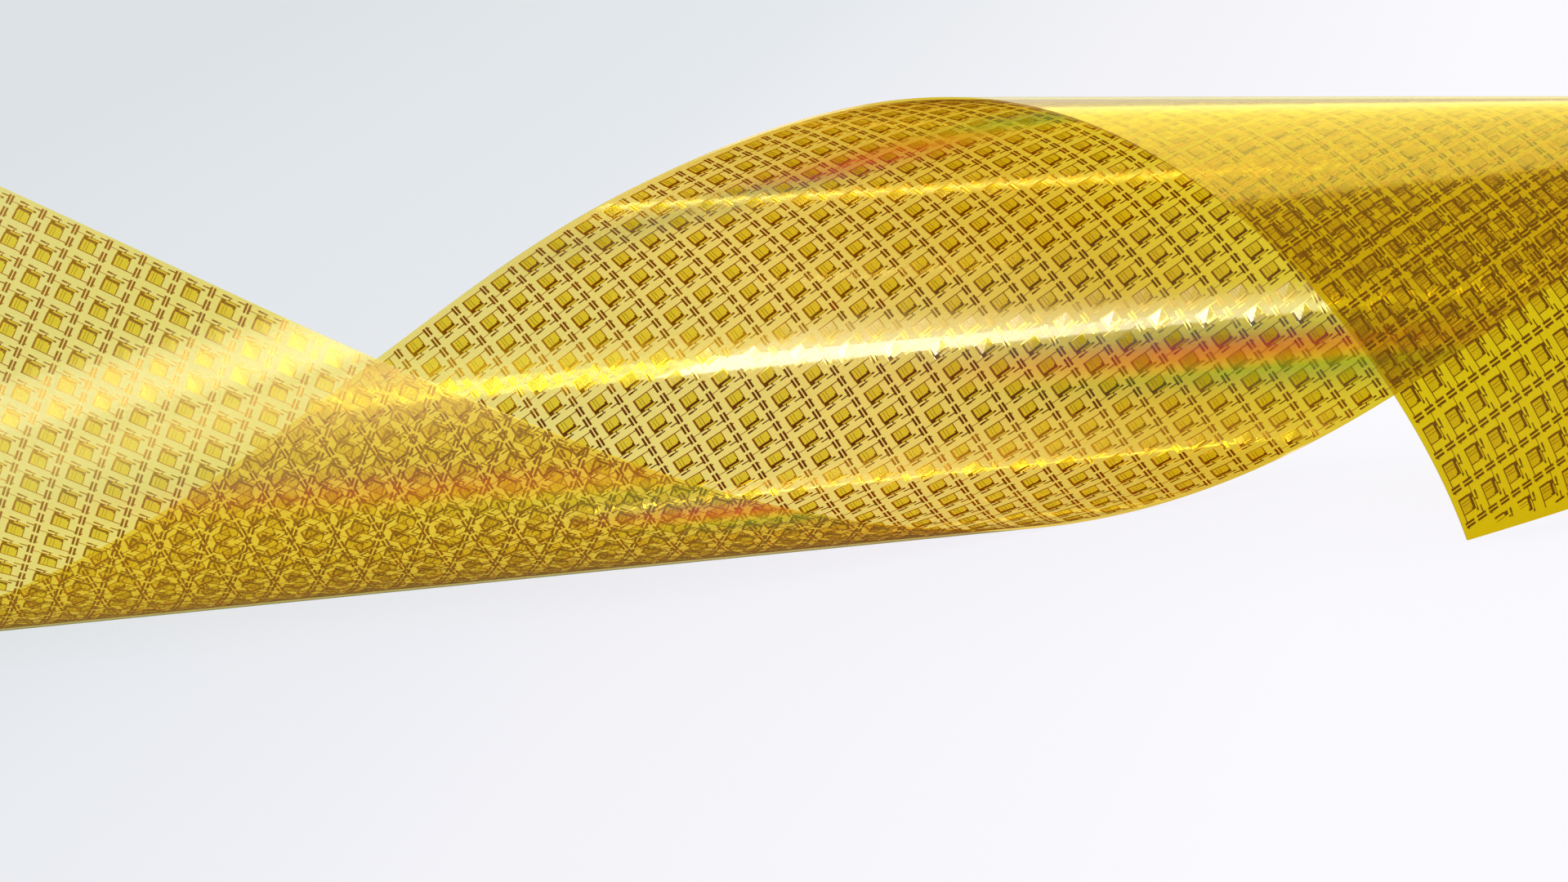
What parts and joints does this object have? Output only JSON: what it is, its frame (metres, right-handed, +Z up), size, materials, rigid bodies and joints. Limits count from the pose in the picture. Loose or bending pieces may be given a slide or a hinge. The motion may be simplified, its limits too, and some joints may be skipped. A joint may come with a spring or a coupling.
{
  "type": "flexible semiconductor film",
  "caption": "Thin amber film strip, printed with a grid of small electronic cells and curled up into a slanted open roll.",
  "frame": {"origin": "on the floor under the middle of the curl's bounding box, in the attitude in which the curl rests", "axes": "+Z up, +X along the curl from its square tail end to its slanted head end, +Y to the curl's back"},
  "size_m": [0.1308, 0.041, 0.0293],
  "materials": {
    "film": "glossy, see-through amber",
    "pad_print": "thin metal print, satin",
    "dash_print": "thin metal print, dark and shiny"
  },
  "bodies": {
    "root": {"film": "film", "cell_pads": "pad_print", "contact_dashes": "dash_print"}
  },
  "joints": []
}
